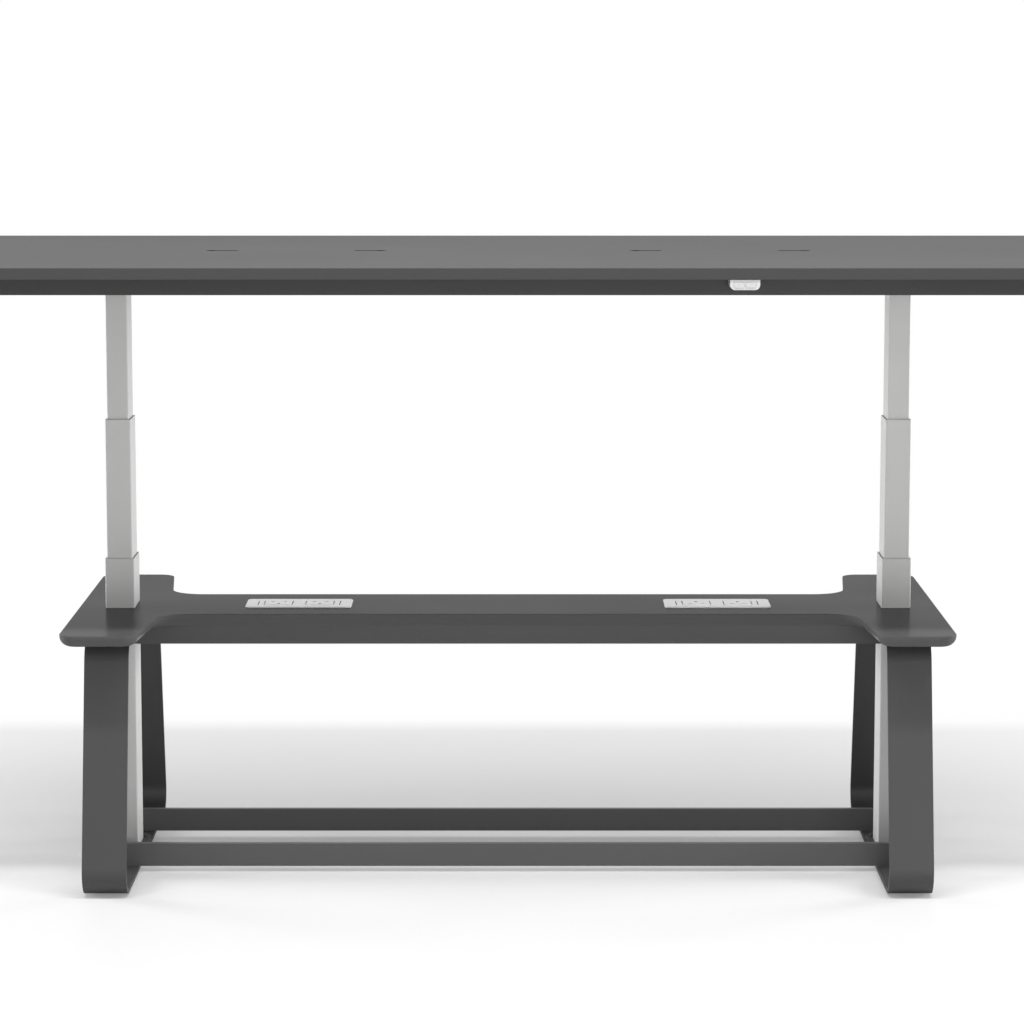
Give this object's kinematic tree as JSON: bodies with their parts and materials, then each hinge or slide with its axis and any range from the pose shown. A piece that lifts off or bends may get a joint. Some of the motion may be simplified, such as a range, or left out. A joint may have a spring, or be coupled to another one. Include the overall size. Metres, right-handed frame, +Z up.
{
  "type": "height-adjustable meeting table",
  "caption": "Standing-height meeting table with a long top on telescopic lifting columns, a socketed deck below and splayed loop legs.",
  "frame": {"origin": "on the floor below the middle of the table", "axes": "+X along the length, to the right seen from the handset side; +Y away from the handset side; +Z up"},
  "size_m": [2.4, 1, 1.12],
  "materials": {
    "charcoal_panel": "satin charcoal laminate",
    "charcoal_steel": "fine-textured charcoal powder coat",
    "silver_steel": "satin silver-grey powder coat",
    "white_module": "white satin plastic",
    "white_handset": "white satin plastic",
    "white_key": "white satin plastic",
    "black_plastic": "matt black plastic",
    "grey_plastic": "matt grey plastic",
    "contact_brass": "bright brass",
    "circuit_board": "lacquered board",
    "motor_case": "black painted case",
    "bright_steel": "zinc-plated steel"
  },
  "bodies": {
    "base": {"leg_loop_left": "charcoal_steel", "leg_loop_right": "charcoal_steel", "outer_tube_left": "silver_steel", "outer_tube_right": "silver_steel", "outer_glide_left": "grey_plastic", "outer_glide_right": "grey_plastic", "foot_plate_left": "charcoal_steel", "foot_plate_right": "charcoal_steel", "motor_left": "motor_case", "motor_right": "motor_case", "power_fascia_left": "white_module", "power_fascia_right": "white_module", "power_housing_left": "black_plastic", "power_housing_right": "black_plastic", "sockets_left": "white_module", "sockets_right": "white_module", "contacts_left": "contact_brass", "contacts_right": "contact_brass", "deck_panel": "charcoal_panel", "cable_trough": "charcoal_steel", "foot_rail_front": "charcoal_steel", "foot_rail_rear": "charcoal_steel", "floor_glides": "black_plastic", "foot_bolts": "bright_steel", "deck_screws": "bright_steel", "trough_screws": "bright_steel"},
    "mid_left": {"mid_tube_left": "silver_steel", "mid_glide_left": "grey_plastic", "mid_bulkhead_left": "bright_steel"},
    "screw_left": {"lift_screw_left": "bright_steel"},
    "hollow_left": {"hollow_screw_left": "bright_steel"},
    "mid_right": {"mid_tube_right": "silver_steel", "mid_glide_right": "grey_plastic", "mid_bulkhead_right": "bright_steel"},
    "screw_right": {"lift_screw_right": "bright_steel"},
    "hollow_right": {"hollow_screw_right": "bright_steel"},
    "up_key": {"up_button": "white_key"},
    "down_key": {"down_button": "white_key"},
    "top": {"apron_caps": "charcoal_steel", "apron_front": "charcoal_steel", "apron_left": "charcoal_steel", "apron_rear": "charcoal_steel", "apron_right": "charcoal_steel", "control_board": "circuit_board", "control_case": "black_plastic", "cross_frame_left": "charcoal_steel", "cross_frame_right": "charcoal_steel", "handset_board": "circuit_board", "handset_housing": "white_handset", "head_bolts": "bright_steel", "head_plate_left": "charcoal_steel", "head_plate_right": "charcoal_steel", "inner_nut_left": "grey_plastic", "inner_nut_right": "grey_plastic", "inner_tube_left": "silver_steel", "inner_tube_right": "silver_steel", "slot_liners": "black_plastic", "small_screws": "bright_steel", "tabletop": "charcoal_panel", "top_screws": "bright_steel"}
  },
  "joints": [
    {"name": "table_lift", "type": "slide", "parent": "base", "child": "top", "axis": [0, 0, 1], "range_m": [-0.47, 0.13]},
    {"name": "left_mid_lift", "type": "slide", "parent": "base", "child": "mid_left", "axis": [0, 0, 1], "range_m": [-0.236, 0.066]},
    {"name": "left_screw_turn", "type": "hinge", "parent": "base", "child": "screw_left", "pos_m": [-0.7098, 0, 0.3], "axis": [0, 0, 1], "range_deg": [-21300, 6000]},
    {"name": "left_hollow_turn", "type": "hinge", "parent": "mid_left", "child": "hollow_left", "pos_m": [-0.7098, 0, 0.5], "axis": [0, 0, 1], "range_deg": [-10700, 3000]},
    {"name": "right_mid_lift", "type": "slide", "parent": "base", "child": "mid_right", "axis": [0, 0, 1], "range_m": [-0.236, 0.066]},
    {"name": "right_screw_turn", "type": "hinge", "parent": "base", "child": "screw_right", "pos_m": [0.7098, 0, 0.3], "axis": [0, 0, 1], "range_deg": [-21300, 6000]},
    {"name": "right_hollow_turn", "type": "hinge", "parent": "mid_right", "child": "hollow_right", "pos_m": [0.7098, 0, 0.5], "axis": [0, 0, 1], "range_deg": [-10700, 3000]},
    {"name": "up_press", "type": "slide", "parent": "top", "child": "up_key", "axis": [0, 1, 0], "range_m": [0, 0.0008], "stiffness_N_per_m": 1500, "springref_m": -0.0006},
    {"name": "down_press", "type": "slide", "parent": "top", "child": "down_key", "axis": [0, 1, 0], "range_m": [0, 0.0008], "stiffness_N_per_m": 1500, "springref_m": -0.0006}
  ],
  "couplings": [
    {"joint": "left_mid_lift", "follows": "table_lift", "ratio": 0.5},
    {"joint": "left_screw_turn", "follows": "table_lift", "rad_per_m": 785.4},
    {"joint": "left_hollow_turn", "follows": "table_lift", "rad_per_m": 392.7},
    {"joint": "right_mid_lift", "follows": "table_lift", "ratio": 0.5},
    {"joint": "right_screw_turn", "follows": "table_lift", "rad_per_m": 785.4},
    {"joint": "right_hollow_turn", "follows": "table_lift", "rad_per_m": 392.7}
  ]
}
